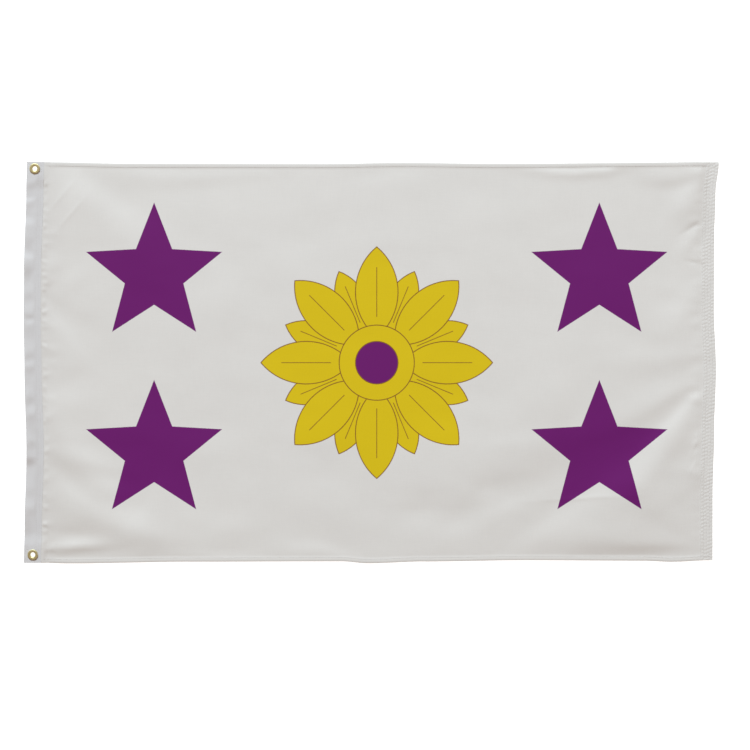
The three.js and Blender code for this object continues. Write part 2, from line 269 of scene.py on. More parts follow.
@dataclass(frozen=True)
class PrintedNylon:
    """Thin white flag cloth, dyed right through with a rosette and four stars, with painted shade darkening
    it towards the heading seam, its sizes in metres.
    """

    white: Colour = (217, 216, 213)
    shaded: Colour = (211, 210, 207)
    purple: Colour = (101, 8, 102)
    yellow: Colour = (210, 185, 4)
    brown: Colour = (128, 84, 28)
    thread_shade: Colour = (70, 66, 64)
    thread_shade_share: float = 0.08
    # painted shade: the cloth's colour darkens towards the heading seam, by this share of this grey, over
    # this width
    painted_shade_near_seam: Colour = (188, 185, 183)
    painted_shade_near_seam_share: float = 0.2
    painted_shade_near_seam_width: float = 0.07
    seam_place: float = -0.743
    cloud: float = 0.09
    cloud_share: float = 0.8
    thread: float = 0.0016
    thread_draw: float = 14.0
    weave_pitch: float = 0.0011
    relief: float = 0.00012
    edge: float = 0.0012
    outline: float = 0.0020
    vein_width: float = 0.0016
    vein_length: float = 0.55
    centre: Point = (0.012, 0.0)
    star_place: Point = (0.492, 0.196)
    star_radius: float = 0.158
    star_waist: float = 0.068
    rounds: tuple[Petals, ...] = (
        Petals(count=8, inner=0.060, outer=0.218, half_width=0.034, turned=math.pi / 8),
        Petals(count=8, inner=0.056, outer=0.256, half_width=0.047),
    )
    disc_radius: float = 0.083
    button_radius: float = 0.047

    def material(self) -> bpy.types.Material:
        """The printed cloth's material."""
        graph = Graph("printed_nylon")
        threads = graph.threads(self.thread, self.thread_draw)
        grey = graph.speckle(self.cloud, detail=3.0) * self.cloud_share + threads * (1 - self.cloud_share)
        x, y = graph.plan(self.centre)
        colour = graph.mix(grey, linear(self.white), linear(self.shaded))
        # painted shade: the colour darkens near the heading seam
        painted_shade_mask = (1.0 - (x - self.seam_place) / self.painted_shade_near_seam_width).clamped()
        colour = graph.mix(painted_shade_mask * self.painted_shade_near_seam_share, colour, linear(self.painted_shade_near_seam))
        colour = self._stars(graph, colour, x, y)
        colour = self._rosette(graph, colour, x, y)
        colour = graph.mix(threads * self.thread_shade_share, colour, linear(self.thread_shade))
        height = graph.weave(self.weave_pitch) * 0.7 + threads * 0.3
        return graph.surface(
            Base_Color=colour,
            Roughness=0.58 + 0.16 * threads,
            Normal=graph.bump(height, self.relief, 0.35),
            Sheen_Weight=0.04,
            Sheen_Roughness=0.45,
            Specular_IOR_Level=0.22,
        )

    def _stars(self, graph: Graph, colour: Value, x: Value, y: Value) -> Value:
        """Lays the four five-pointed stars on the cloth.

        Args:
            graph: the material's graph.
            colour: the cloth's colour so far.
            x: metres to the right of the print's middle.
            y: metres above it.

        Returns:
            The colour with the stars on it.
        """
        along = x - x.sign() * self.star_place[0]
        up = y - y.sign() * self.star_place[1]
        fold = 2.0 * math.pi / 5
        turn = abs((along.angle_from(up) + fold / 2) % fold - fold / 2)
        far = (along * along + up * up).root()
        waist = (self.star_waist * math.cos(fold / 2), self.star_waist * math.sin(fold / 2))
        side = math.hypot(self.star_radius - waist[0], waist[1])
        out = (waist[1] / side, (self.star_radius - waist[0]) / side)
        distance = (far * turn.cosine() - self.star_radius) * out[0] + far * turn.sine() * out[1]
        return graph.mix(distance.inside(self.edge), colour, linear(self.purple))

    def _rosette(self, graph: Graph, colour: Value, x: Value, y: Value) -> Value:
        """Lays the rosette on the cloth: its rounds of petals, then its disc and its button.

        Args:
            graph: the material's graph.
            colour: the cloth's colour so far.
            x: metres to the right of the print's middle.
            y: metres above it.

        Returns:
            The colour with the rosette on it.
        """
        far = (x * x + y * y).root()
        bearing = x.angle_from(y)
        yellow, brown = linear(self.yellow), linear(self.brown)
        for petals in self.rounds:
            half_length = (petals.outer - petals.inner) / 2
            bend = (half_length**2 + petals.half_width**2) / (2 * petals.half_width)
            fold = 2.0 * math.pi / petals.count
            turn = abs((bearing + petals.turned + fold / 2) % fold - fold / 2)
            along = far * turn.cosine() - (petals.inner + half_length)
            aside = far * turn.sine()
            reach = aside + (bend - petals.half_width)
            distance = (along * along + reach * reach).root() - bend
            colour = graph.mix(distance.inside(self.edge), colour, yellow)
            within = (abs(along) - half_length * self.vein_length).inside(self.edge)
            vein = aside.line(self.vein_width, self.edge) * within
            colour = graph.mix(distance.line(self.outline, self.edge).larger(vein), colour, brown)
        for radius, paint in ((self.disc_radius, yellow), (self.button_radius, linear(self.purple))):
            distance = far - radius
            colour = graph.mix(distance.inside(self.edge), colour, paint)
            colour = graph.mix(distance.line(self.outline, self.edge), colour, brown)
        return colour


@dataclass(frozen=True)
class HeadingCanvas:
    """Heavy plain-woven canvas, a little greyer than the field, its sizes in metres."""

    white: Colour = (206, 206, 207)
    shaded: Colour = (195, 195, 196)
    cloud: float = 0.03
    thread: float = 0.0022
    thread_draw: float = 10.0
    weave_pitch: float = 0.0014
    relief: float = 0.0002

    def material(self) -> bpy.types.Material:
        """The canvas's material."""
        graph = Graph("heading_canvas")
        threads = graph.threads(self.thread, self.thread_draw)
        weave = graph.weave(self.weave_pitch)
        grey = graph.speckle(self.cloud) * 0.5 + threads * 0.3 + weave * 0.2
        return graph.surface(
            Base_Color=graph.mix(grey, linear(self.white), linear(self.shaded)),
            Roughness=0.8 + 0.12 * threads,
            Normal=graph.bump(weave * 0.8 + threads * 0.2, self.relief, 0.5),
            Sheen_Weight=0.08,
            Specular_IOR_Level=0.25,
        )


@dataclass(frozen=True)
class SewingThread:
    """Twisted white polyester thread, coloured grey as painted shade of stitches sunk in the cloth and darker
    along the twist's grooves as painted shade, its twist in metres.
    """

    # painted shade: both colours are greyer than the white thread, for stitches sunk into the cloth
    white: Colour = (200, 199, 199)
    shaded: Colour = (164, 162, 162)
    twist: float = 0.0005

    def material(self) -> bpy.types.Material:
        """The thread's material."""
        graph = Graph("sewing_thread")
        x, y = graph.plan()
        ply = ((x + y) * (2 * math.pi / self.twist)).sine().raised()
        return graph.surface(
            # painted shade: the twist's grooves are coloured darker
            Base_Color=graph.mix(ply * 0.7, linear(self.white), linear(self.shaded)),
            Roughness=0.5 + 0.15 * ply,
            Sheen_Weight=0.2,
        )


@dataclass(frozen=True)
class EyeletBrass:
    """Stamped brass, polished once and dulled by handling, its sizes in metres."""

    bright: Colour = (218, 209, 160)
    worn: Colour = (150, 137, 86)
    ring_pitch: float = 0.0007
    ring_waver: float = 6.0
    ring_depth: float = 0.00002
    blotch: float = 0.0035

    def material(self, name: str, centre: Point) -> bpy.types.Material:
        """The brass of one eyelet or washer.

        Args:
            name: the piece's name.
            centre: the middle of its hole, in metres.

        Returns:
            The material, with its turned marks round that centre.
        """
        graph = Graph(f"brass_{name}")
        x, y = graph.plan(centre)
        far = (x * x + y * y).root()
        waver = graph.speckle(0.004) * self.ring_waver
        rings = (far * (2 * math.pi / self.ring_pitch) + waver).sine().raised()
        dull = (graph.speckle(self.blotch, detail=4.0) * 2.6 - 0.95).clamped()
        return graph.surface(
            Base_Color=graph.mix(dull * 0.65, linear(self.bright), linear(self.worn)),
            Metallic=0.75,
            Roughness=0.34 + 0.22 * dull + 0.05 * rings,
            Normal=graph.bump(rings, self.ring_depth, 0.25),
        )


@dataclass(frozen=True)
class EdgeLine:
    """How far one edge of the flag wanders outwards from its straight line, from place to place."""

    shares: tuple[float, ...]
    outs: tuple[float, ...]

    def at(self, share: np.ndarray) -> np.ndarray:
        """The wander at those shares of the edge's length."""
        shares, outs = np.array(self.shares), np.array(self.outs)
        span = np.clip(np.searchsorted(shares, share) - 1, 0, len(shares) - 2)
        part = eased((share - shares[span]) / (shares[span + 1] - shares[span]))
        return outs[span] + (outs[span + 1] - outs[span]) * part


class End(Enum):
    """The two ends of the heading."""

    TOP = "top"
    BOTTOM = "bottom"


@dataclass(frozen=True)
class EyeletPlace:
    """Where an eyelet goes through the heading."""

    end: End
    from_hoist: float
    from_end: float


@dataclass
class FlagPlan:
    """The flag's plan: its outline, its main widths, and where it lies in the frame."""

    fly_length: float = 1524.0
    hoist_width: float = 882.0
    heading_width: float = 38.0
    seam_allowance: float = 9.0
    hoist: EdgeLine = EdgeLine(
        (0.0, 0.08, 0.28, 0.48, 0.61, 0.73, 0.93, 1.0), (3.1, 1.8, -2.4, 2.0, 3.8, 3.1, -1.9, -3.8)
    )
    fly: EdgeLine = EdgeLine(
        (0.0, 0.16, 0.33, 0.48, 0.63, 0.80, 0.92, 1.0), (-5.1, -4.9, -1.3, 2.6, -2.0, -1.6, 1.4, 8.8)
    )
    top: EdgeLine = EdgeLine((0.0, 0.03, 0.14, 0.43, 0.54, 0.68, 1.0), (1.4, 1.4, -1.5, -2.2, 0.2, -1.8, 1.5))
    bottom: EdgeLine = EdgeLine(
        (0.0, 0.03, 0.065, 0.24, 0.46, 0.50, 0.58, 0.73, 0.90, 0.94, 1.0),
        (2.4, 2.4, 3.8, -0.2, -1.0, 3.4, -0.6, -3.5, -2.2, 0.2, -3.5),
    )
    eyelets: tuple[EyeletPlace, ...] = (EyeletPlace(End.TOP, 18.0, 15.0), EyeletPlace(End.BOTTOM, 20.0, 18.0))
    origin: np.ndarray = field(init=False)

    def __post_init__(self) -> None:
        """Finds the flag's middle in the frame from the upper eyelet."""
        low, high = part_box("eyelet_top")
        centre = (low + high) / 2 / MM
        self.origin = np.zeros(2)
        self.origin = np.array(centre[:2]) - self.eyelet_centre(self.eyelets[0])

    @property
    def field_length(self) -> float:
        """The field's length, from its edge inside the heading to the fly."""
        return self.fly_length - self.heading_width + self.seam_allowance

    def hoist_x(self, row: np.ndarray) -> np.ndarray:
        """x of the hoist edge at a share of the way up."""
        return -self.fly_length / 2 - self.hoist.at(row)

    def row_y(self, fly_share: np.ndarray, row: np.ndarray) -> np.ndarray:
        """y of a row of the flag, at a share of the way to the fly."""
        low = -self.hoist_width / 2 - self.bottom.at(fly_share)
        high = self.hoist_width / 2 + self.top.at(fly_share)
        return low + (high - low) * row

    def field_xy(self, along: np.ndarray, up: np.ndarray) -> np.ndarray:
        """Plan of points of the field.

        Args:
            along: from the field's edge inside the heading, on the flat cloth.
            up: from its bottom edge.

        Returns:
            x and y of each point.
        """
        row = up / self.hoist_width
        left = self.hoist_x(row) + self.heading_width - self.seam_allowance
        right = self.fly_length / 2 + self.fly.at(row)
        fly_share = (self.fly_length - self.field_length + along) / self.fly_length
        x = left + (right - left) * along / self.field_length
        return np.stack([x, self.row_y(fly_share, row)], axis=1)

    def heading_xy(self, across: np.ndarray, up: np.ndarray) -> np.ndarray:
        """Plan of points of the heading, across from its hoist edge and up from its bottom end."""
        row = up / self.hoist_width
        return np.stack([self.hoist_x(row) + across, self.row_y(np.zeros_like(row), row)], axis=1)

    def eyelet_up(self, place: EyeletPlace) -> float:
        """An eyelet's height above the heading's bottom end."""
        return place.from_end if place.end is End.BOTTOM else self.hoist_width - place.from_end

    def eyelet_centre(self, place: EyeletPlace) -> np.ndarray:
        """Plan of an eyelet's hole."""
        return self.heading_xy(np.array([place.from_hoist]), np.array([self.eyelet_up(place)]))[0]

    def framed(self, points: np.ndarray) -> np.ndarray:
        """Points of the plan, with their heights, in the frame's metres."""
        return (points + np.array([*self.origin, 0.0])) * MM

    def spot(self, place: Sequence[float]) -> Point:
        """x and y of one point of the plan, in the frame's metres."""
        x, y, _ = self.framed(np.array([[*place, 0.0]]))[0]
        return (float(x), float(y))


SHARP_FALL = 1.8  # how fast a sharp fold falls away from its crest


class Crest(Enum):
    """The section of a fold."""

    ROUND = "round"
    SHARP = "sharp"

    def fall(self, across: np.ndarray) -> np.ndarray:
        """How far the fold has fallen at that many half widths from its crest, as a power of e."""
        return across**2 if self is Crest.ROUND else SHARP_FALL * np.abs(across)


@dataclass(frozen=True)
class Fold:
    """A soft swell in the cloth, from one point of the plan to another, by half width and height.

    Lean widens the left flank of that way and narrows the right one, taper widens the fold towards its
    end, and bow bends its crest to the left.
    """

    start: Point
    end: Point
    width: float
    height: float
    lean: float = 0.0
    taper: float = 0.0
    bow: float = 0.0
    crest: Crest = Crest.ROUND
    length_fall: float = 1.6
    bow_fall: float = 0.3
    foot: float = 0.03

    def heights(self, points: np.ndarray) -> np.ndarray:
        """The fold's height at each point of the plan."""
        start, end = np.array(self.start, float), np.array(self.end, float)
        half = float(np.hypot(*(end - start))) / 2
        way = (end - start) / (2 * half)
        off = points - (start + end) / 2
        along = off @ way / half
        crest = self.bow * (1 - along**2) * np.exp(-self.bow_fall * along**2)
        half_width = self.width * np.exp(self.taper * np.tanh(along))
        evenly = (off @ np.array([-way[1], way[0]]) - crest) / half_width
        across = evenly / (1 + self.lean * np.tanh(evenly))
        share = np.exp(-self.length_fall * along**2 - self.crest.fall(across))
        return self.height * np.maximum(share - self.foot, 0.0) / (1 - self.foot)


# The folds that the cloth lies in
FIELD_FOLDS = (
    Fold((-737, -414), (-560, -402), 13, 1.8, 0.4, 0.2),
    Fold((735, -402), (440, -398), 14, 0.3, -0.4),
    Fold((-760, -257), (-378, -408), 32, 2.38, 0, -0.17, -26),
    Fold((770, -404), (358, -401), 27, 1.95, -0.41, 0.6, -3),
    Fold((770, -242), (345, -389), 68, 2.09, -0.47, -0.65, 37),
    Fold((770, -33), (480, -392), 37, 2.09, 0.27, 0.7, 4),
    Fold((770, 450), (566, 426), 30, 2.11, -0.46, 0.25, 24),
    Fold((-749, 450), (-461, 174), 56, 1.94, -0.39, 0.29, 14),
    Fold((687, -212), (290, -449), 54, 1.62, 0.39, -0.65, 2),
    Fold((770, -12), (118, -227), 54, 1.24, -0.52, 0.37, 34),
    Fold((306, 430), (646, 450), 8, 1.27, -0.44, -0.12, -20),
    Fold((-610, -348), (-124, -405), 41, 1.18, -0.17, 0.29, 4),
    Fold((-752, -50), (-429, -450), 39, 1.56, -0.09, 0.59, -22),
    Fold((490, -194), (100, -250), 48, 1.11, -0.6, 0.36, 10),
    Fold((130, -430), (454, -275), 32, 1.11, -0.27, -0.33, 9),
    Fold((-759, -413), (-522, -395), 11, 0.76, 0.17, 0.61, -3),
    Fold((-664, 450), (-227, 420), 19, 0.78, -0.16, -0.47, -29),
    Fold((770, 29), (441, 12), 30, 1.19, 0, 0.7, 18),
    Fold((-247, -426), (-8, -441), 24, 1.27, -0.21, -0.7, 12),
    Fold((718, 450), (678, 302), 42, 2.6, 0.16, -0.04, 16),
    Fold((-727, 179), (-508, 89), 51, 1.12, 0.6, 0.67, -11),
    Fold((-756, -362), (-571, -254), 63, 1.47, 0.6, 0.7, -26),
    Fold((509, -171), (770, -16), 22, 0.97, 0.23, -0.7, 7),
    Fold((-247, -286), (4, -373), 52, 1.12, 0.09, 0.18, 5),
    Fold((593, -216), (755, -57), 26, 1.11, -0.6, -0.21, -3),
    Fold((-760, 384), (-564, 450), 72, 1.91, -0.58, -0.52, 11),
    Fold((28, -247), (239, -289), 54, 1.1, 0.6, 0, 10),
    Fold((337, -224), (422, 73), 75, 1.05, 0.34, 0.34, -6),
    Fold((-437, -425), (-242, -429), 8, 0.83, 0.04, -0.06, -2),
    Fold((-672, 239), (-664, 450), 58, 1.53, -0.17, 0.12, -21),
    Fold((356, -228), (420, 50), 68, 1.02, 0.44, 0.26, -2),
    Fold((28, -367), (296, -450), 57, 0.89, -0.6, 0.12, 15),
    Fold((-299, -450), (-324, -162), 75, 1.12, 0.22, -0.45, -2),
    Fold((569, -305), (722, -84), 22, 0.95, -0.01, 0.12, -11),
    Fold((-215, -163), (-1, -166), 46, 0.91, 0.36, 0.24, 4),
    Fold((703, 342), (653, 450), 23, 2.29, 0.09, -0.18, -50),
    Fold((467, -303), (769, -249), 47, 0.78, -0.01, 0.5, -4),
    Fold((13, -310), (243, -298), 28, 0.66, 0.57, 0.23, 3),
    Fold((757, 211), (621, 22), 26, 1.09, 0.02, 0.7, 4),
    Fold((494, -414), (713, -343), 65, 1, 0.6, -0.24, -4),
    Fold((-760, 147), (-629, -13), 32, 1.05, -0.57, 0.18, 1),
    Fold((-396, 176), (-256, 98), 67, 0.87, -0.6, -0.18, 6),
    Fold((-80, 379), (163, 379), 38, 0.71, -0.6, 0.43, 11),
    Fold((-586, -278), (-760, -91), 57, 1.02, -0.6, 0.7, 2),
    Fold((-420, -210), (-269, -206), 74, 0.87, -0.6, -0.15, 5),
    Fold((94, -398), (295, -174), 33, 0.75, 0.26, 0.37, -7),
    Fold((-430, -450), (-182, -331), 55, 0.79, -0.45, 0.09, 1),
    Fold((-755, -129), (-474, -156), 38, 0.62, 0.54, 0, -9),
    Fold((738, 303), (682, 220), 13, 1.02, -0.06, 0.7, -4),
    Fold((193, -201), (430, -170), 29, 0.61, -0.35, -0.12, -1),
    Fold((-512, -445), (-420, -221), 52, 1.03, -0.58, -0.62, 1),
    Fold((-635, 47), (-658, 400), 73, 0.98, -0.37, 0.01, -1),
    Fold((-579, 326), (-389, 232), 58, 0.73, -0.6, -0.07, -8),
    Fold((-681, -281), (-482, -296), 29, 0.61, -0.28, -0.54, 1),
    Fold((-7, -153), (275, -196), 59, 0.63, -0.47, -0.11, -6),
    Fold((770, -260), (643, -238), 19, 0.72, -0.02, -0.28, -9),
    Fold((713, 214), (697, 450), 38, 1.33, -0.31, 0.15, -12),
    Fold((599, -340), (755, -79), 57, 0.82, 0.6, 0.62, -44),
    Fold((-738, -185), (-512, -241), 18, 0.51, -0.01, -0.23, -8),
    Fold((349, -363), (186, -274), 35, 0.66, 0.39, -0.52, -2),
    Fold((-570, -426), (-476, -398), 54, 1.2, 0.4, -0.44, 0),
    Fold((-760, -93), (-579, -73), 28, 0.66, 0.02, -0.05, -7),
    Fold((765, -394), (588, -262), 25, 0.65, -0.3, 0.6, 23),
    Fold((-681, 198), (-706, 235), 29, 0.8, -0.14, 0.02, 12),
    Fold((-760, -338), (-564, -381), 24, 0.52, 0.5, -0.58, 2),
    Fold((575, 165), (770, 128), 27, 0.54, 0.14, 0.21, 11),
    Fold((-710, -28), (-630, 29), 48, 0.79, 0.6, 0.29, 0),
    Fold((647, -95), (687, 178), 33, 0.97, -0.07, 0.36, -20),
    Fold((736, 325), (685, 299), 24, 0.89, -0.6, 0.06, -4),
    Fold((-756, -217), (-598, -194), 75, 0.82, 0.6, 0.08, 5),
    Fold((766, -22), (562, 127), 59, 0.65, 0.37, 0.03, -8),
    Fold((-592, -330), (-718, -217), 16, 0.48, 0.1, 0.22, 20),
    Fold((-703, 138), (-559, 235), 24, 0.56, 0.09, 0.25, 10),
    Fold((-760, -74), (-609, -99), 68, 0.89, 0.31, -0.6, -7),
    Fold((-303, 182), (-62, 228), 57, 0.51, -0.6, 0, 6),
    Fold((-336, -13), (-328, 217), 52, 0.65, 0.31, -0.09, 0),
    Fold((745, 215), (703, 233), 13, 0.65, -0.36, -0.03, -6),
    Fold((-678, -340), (-708, -57), 34, 0.76, -0.31, 0.45, 14),
)

# Creases pressed in while the flag was packed
FIELD_CREASES = tuple(
    Fold(start, end, width, height, lean, crest=Crest.SHARP)
    for start, end, width, height, lean in (
        ((600, -294), (350, -308), 6, 0.55, -0.3),
        ((733, -155), (706, -207), 5, 0.6, 0.0),
        ((727, -205), (704, -249), 5, 0.6, 0.0),
        ((738, 314), (684, 280), 7, -0.7, 0.0),
        ((738, 213), (694, 226), 6, -0.7, 0.0),
        ((-640, 416), (-722, 316), 7, 0.5, 0.0),
        ((-618, 379), (-700, 279), 7, 0.5, 0.0),
        ((578, -310), (578, -395), 5, 0.25, 0.0),
    )
)


@dataclass(frozen=True)
class PuckerRow:
    """Small folds that a row of sewing draws up in the cloth beside it."""

    start: Point
    end: Point
    pitch: Point
    length: Point
    height: Point
    aim: float
    seed: int
    spread: float = 35.0
    slimness: float = 0.12
    least_width: float = 2.0
    taper: float = 0.4

    def folds(self) -> list[Fold]:
        """The row's folds, each at its own place and length, aimed at that bearing in degrees."""
        dice = random.Random(self.seed)
        start, end = np.array(self.start, float), np.array(self.end, float)
        span = float(np.hypot(*(end - start)))
        made, at = [], dice.uniform(*self.pitch)
        while at < span:
            foot = start + (end - start) * at / span
            bearing = math.radians(self.aim + dice.uniform(-self.spread, self.spread))
            length = dice.uniform(*self.length)
            tip = foot + length * np.array([math.cos(bearing), math.sin(bearing)])
            width = self.slimness * length + self.least_width
            made.append(Fold(tuple(foot), tuple(tip), width, dice.uniform(*self.height), taper=self.taper))
            at += dice.uniform(*self.pitch)
        return made


FIELD_PUCKERS = (
    PuckerRow((-732, -415), (-732, 415), (16, 40), (26, 56), (0.15, 0.5), aim=0.0, seed=11),
    PuckerRow((-734, -420), (-734, 420), (9, 26), (14, 30), (0.2, 0.6), aim=0.0, seed=17),
    PuckerRow((740, -425), (740, 425), (9, 19), (20, 46), (0.2, 0.6), aim=180.0, seed=23),
    PuckerRow((-690, 430), (700, 430), (22, 60), (14, 34), (0.08, 0.25), aim=-90.0, seed=37),
    PuckerRow((-690, -430), (700, -430), (22, 60), (14, 34), (0.08, 0.25), aim=90.0, seed=41),
)


# The cloth's slow unevenness: the size, the reach or height and the layer of each noise
WANDER = ((150.0, 2.0, 3.0), (46.0, 2.0, 9.0))
ROLL = ((110.0, 0.5, 1.5), (44.0, 0.12, 6.5))
ROLL_MIDDLE = 0.5
ROLL_GRAIN = np.array([[1.0, 0.35], [-0.35, 1.5]])


def wandering(points: np.ndarray) -> np.ndarray:
    """The points, moved a little this way and that, so that nothing runs quite straight."""
    moved = points.copy()
    for size, reach, layer in WANDER:
        drift = [noise.noise_vector(Vector((x / size, y / size, layer))) for x, y in points]
        moved += reach * np.array(drift)[:, :2]
    return moved


def rolling(points: np.ndarray) -> np.ndarray:
    """Slow waves of cloth that lies loose, in millimetres."""
    waves = np.full(len(points), ROLL_MIDDLE)
    for size, height, layer in ROLL:
        flat = points @ ROLL_GRAIN / size
        waves += height * np.array([noise.noise(Vector((x, y, layer))) for x, y in flat])
    return np.maximum(waves, 0.0)


@dataclass
class HeadingLift:
    """How high the heading lies over the floor: on the washers at its ends."""

    plan: FlagPlan
    washer: float = 1.8
    flat: float = 14.0
    ease: float = 34.0

    def at(self, up: np.ndarray) -> np.ndarray:
        """The lift at those heights above the bottom end."""
        lifts = []
        for place in self.plan.eyelets:
            from_end = up if place.end is End.BOTTOM else self.plan.hoist_width - up
            down = ramp(from_end - place.from_end, self.flat, self.flat + self.ease)
            lifts.append(self.washer * (1 - down))
        return np.max(lifts, axis=0)

    def clear_of_eyelets(self, up: np.ndarray) -> np.ndarray:
        """0 beside the eyelets, rising to 1 away from them."""
        nearest = np.min([np.abs(up - self.plan.eyelet_up(place)) for place in self.plan.eyelets], axis=0)
        return ramp(nearest, self.flat, 2 * self.flat)


class Bench:
    """Selecting and applying, as at the modelling bench."""

    @staticmethod
    def clear() -> None:
        """Leaves nothing selected."""
        bpy.ops.object.select_all(action="DESELECT")

    @staticmethod
    def take(piece: bpy.types.Object) -> None:
        """Selects one piece and makes it active."""
        Bench.clear()
        piece.select_set(True)
        bpy.context.view_layer.objects.active = piece

    @staticmethod
    def grid(name: str, columns: int, rows: int) -> bpy.types.Object:
        """A flat unit grid, from (0, 0) to (1, 1), as the cut cloth."""
        Bench.clear()
        bpy.ops.mesh.primitive_grid_add(
            x_subdivisions=columns, y_subdivisions=rows, size=1.0, location=(0.5, 0.5, 0)
        )
        bpy.ops.object.transform_apply(location=True, rotation=True, scale=True)
        piece = bpy.context.object
        piece.name = name
        return piece

    @staticmethod
    def points(piece: bpy.types.Object) -> np.ndarray:
        """The piece's points."""
        flat = np.empty(len(piece.data.vertices) * 3)
        piece.data.vertices.foreach_get("co", flat)
        return flat.reshape(-1, 3)

    @staticmethod
    def move_points(piece: bpy.types.Object, points: np.ndarray) -> None:
        """Puts the piece's points where they are told."""
        piece.data.vertices.foreach_set("co", np.asarray(points, float).ravel())
        piece.data.update()

    @staticmethod
    def subdivide(piece: bpy.types.Object, chosen: np.ndarray, cuts: int) -> None:
        """Cuts the chosen faces finer."""
        Bench.take(piece)
        bpy.ops.object.mode_set(mode="EDIT")
        bpy.ops.mesh.select_mode(type="FACE")
        bpy.ops.mesh.select_all(action="DESELECT")
        bpy.ops.object.mode_set(mode="OBJECT")
        piece.data.polygons.foreach_set("select", chosen)
        bpy.ops.object.mode_set(mode="EDIT")
        bpy.ops.mesh.subdivide(number_cuts=cuts)
        bpy.ops.object.mode_set(mode="OBJECT")

    @staticmethod
    def modify(piece: bpy.types.Object, kind: str, **settings: object) -> None:
        """Adds a modifier, sets it up and applies it."""
        Bench.take(piece)
        modifier = piece.modifiers.new(kind.lower(), kind)
        for name, setting in settings.items():
            setattr(modifier, name, setting)
        bpy.ops.object.modifier_apply(modifier=modifier.name)

    @staticmethod
    def thicken(sheet: bpy.types.Object, shares: np.ndarray, thickness: float, offset: float) -> None:
        """Gives a sheet a thickness.

        Args:
            sheet: the sheet.
            shares: the share of the thickness that each of its points has.
            thickness: the full thickness.
            offset: 1 for cloth on the side that the faces look to, -1 for the other side.
        """
        group = sheet.vertex_groups.new(name="thickness")
        for index, share in enumerate(shares):
            group.add([index], float(share), "REPLACE")
        settings = {"thickness": thickness * MM, "offset": offset, "vertex_group": group.name}
        Bench.modify(sheet, "SOLIDIFY", use_rim=True, **settings)
        sheet.vertex_groups.clear()

    @staticmethod
    def smooth(piece: bpy.types.Object, degrees: float) -> None:
        """Smooth shading, but for edges sharper than that."""
        Bench.take(piece)
        bpy.ops.object.shade_smooth_by_angle(angle=math.radians(degrees))

    @staticmethod
    def finish(piece: bpy.types.Object, material: bpy.types.Material, slot: str, *nodes: str) -> None:
        """Dresses a piece and seats it on the frame.

        Args:
            piece: the piece.
            material: its finish.
            slot: the record's material slot, not used.
            nodes: the frame's nodes that it stands for.
        """
        piece.data.materials.clear()
        piece.data.materials.append(material)
        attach(piece, BODY)
        if nodes:
            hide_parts(*nodes)
        piece.data.calc_loop_triangles()
        LOG.info("%s: %d triangles", piece.name, len(piece.data.loop_triangles))


